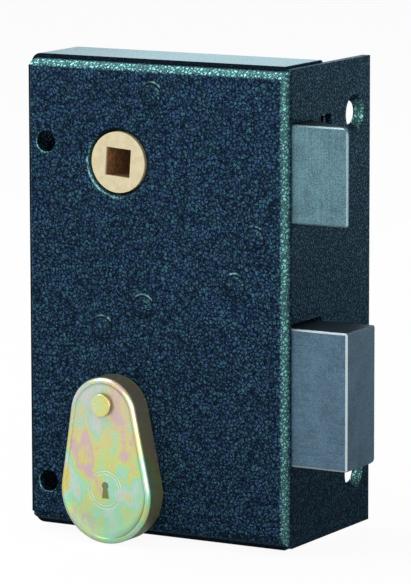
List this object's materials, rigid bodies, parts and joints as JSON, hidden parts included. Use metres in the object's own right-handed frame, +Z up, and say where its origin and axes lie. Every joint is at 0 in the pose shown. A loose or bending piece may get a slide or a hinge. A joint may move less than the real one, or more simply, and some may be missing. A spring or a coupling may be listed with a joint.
{
  "type": "rim lock",
  "caption": "Surface-mounted rim lock with a sprung latch bolt, a handle hub, a key-driven dead bolt, a side forend and a swinging key cover.",
  "frame": {"origin": "where the axis of the handle spindle meets the plane of the door's face", "axes": "+X towards the forend and the door's edge, +Y from the room into the door, +Z up; the front face looks along -Y"},
  "size_m": [0.1045, 0.0598, 0.1412],
  "materials": {
    "paint": "hammered blue-grey enamel, slightly glossy, worn at the edges",
    "paint_rear": "hammered blue-grey enamel over thin sheet",
    "plain_steel": "plain bright steel with a film of oil",
    "post_steel": "steel posts whose riveted ends are enamelled with the case",
    "hub_brass": "cast brass, dull and pale",
    "latch_steel": "ground steel with a satin plating",
    "bolt_steel": "drawn steel, satin, finely scratched",
    "spring_steel": "dark spring steel",
    "gear_brass": "machined brass",
    "cylinder_brass": "turned brass",
    "zinc_plate": "zinc-plated steel, yellow-passivated with a faint rainbow sheen"
  },
  "bodies": {
    "case": {"front_shell": "paint", "rear_cover": "paint_rear", "cover_screws": "plain_steel", "riveted_posts": "post_steel", "gear_stud": "plain_steel", "gear_clip": "spring_steel", "cylinder_body": "cylinder_brass", "cylinder_screws": "plain_steel", "driver_pins": "plain_steel", "pin_springs": "spring_steel", "chamber_plugs": "gear_brass", "swing_rivet": "zinc_plate", "swing_washer": "plain_steel"},
    "latch": {"latch_bolt": "latch_steel", "latch_tail": "plain_steel", "latch_rivets": "plain_steel", "latch_spring": "spring_steel", "spring_pin": "plain_steel"},
    "hub": {"handle_hub": "hub_brass"},
    "dead_bolt": {"dead_bolt": "bolt_steel", "bolt_tail": "plain_steel", "bolt_rivets": "plain_steel"},
    "wheel": {"reduction_gear": "gear_brass"},
    "plug": {"cylinder_plug": "cylinder_brass", "key_pins": "gear_brass", "plug_gear": "gear_brass", "plug_clip": "spring_steel"},
    "swing_cover": {"swing_cover": "zinc_plate"}
  },
  "joints": [
    {"name": "latch_slide", "type": "slide", "parent": "case", "child": "latch", "axis": [1, 0, 0], "range_m": [-0.0176, 0], "stiffness_N_per_m": 300, "springref_m": 0.01, "deforming": ["latch_spring"]},
    {"name": "hub_turn", "type": "hinge", "parent": "case", "child": "hub", "pos_m": [0, 0, 0], "axis": [0, 1, 0], "range_deg": [0, 45.1]},
    {"name": "bolt_slide", "type": "slide", "parent": "case", "child": "dead_bolt", "axis": [1, 0, 0], "range_m": [-0.01759, 0]},
    {"name": "wheel_turn", "type": "hinge", "parent": "case", "child": "wheel", "pos_m": [0.0142, -0.006, -0.0873], "axis": [0, 1, 0], "range_deg": [-180.1, 0]},
    {"name": "plug_turn", "type": "hinge", "parent": "case", "child": "plug", "pos_m": [0, -0.006, -0.0897], "axis": [0, 1, 0], "range_deg": [0, 360.2]},
    {"name": "cover_swing", "type": "hinge", "parent": "case", "child": "swing_cover", "pos_m": [-0.001, -0.03, -0.07], "axis": [0, 1, 0], "range_deg": [-100, 100]}
  ],
  "couplings": [
    {"joint": "hub_turn", "follows": "latch_slide", "rad_per_m": -44.625},
    {"joint": "wheel_turn", "follows": "bolt_slide", "rad_per_m": 178.57},
    {"joint": "plug_turn", "follows": "bolt_slide", "rad_per_m": -357.14}
  ]
}
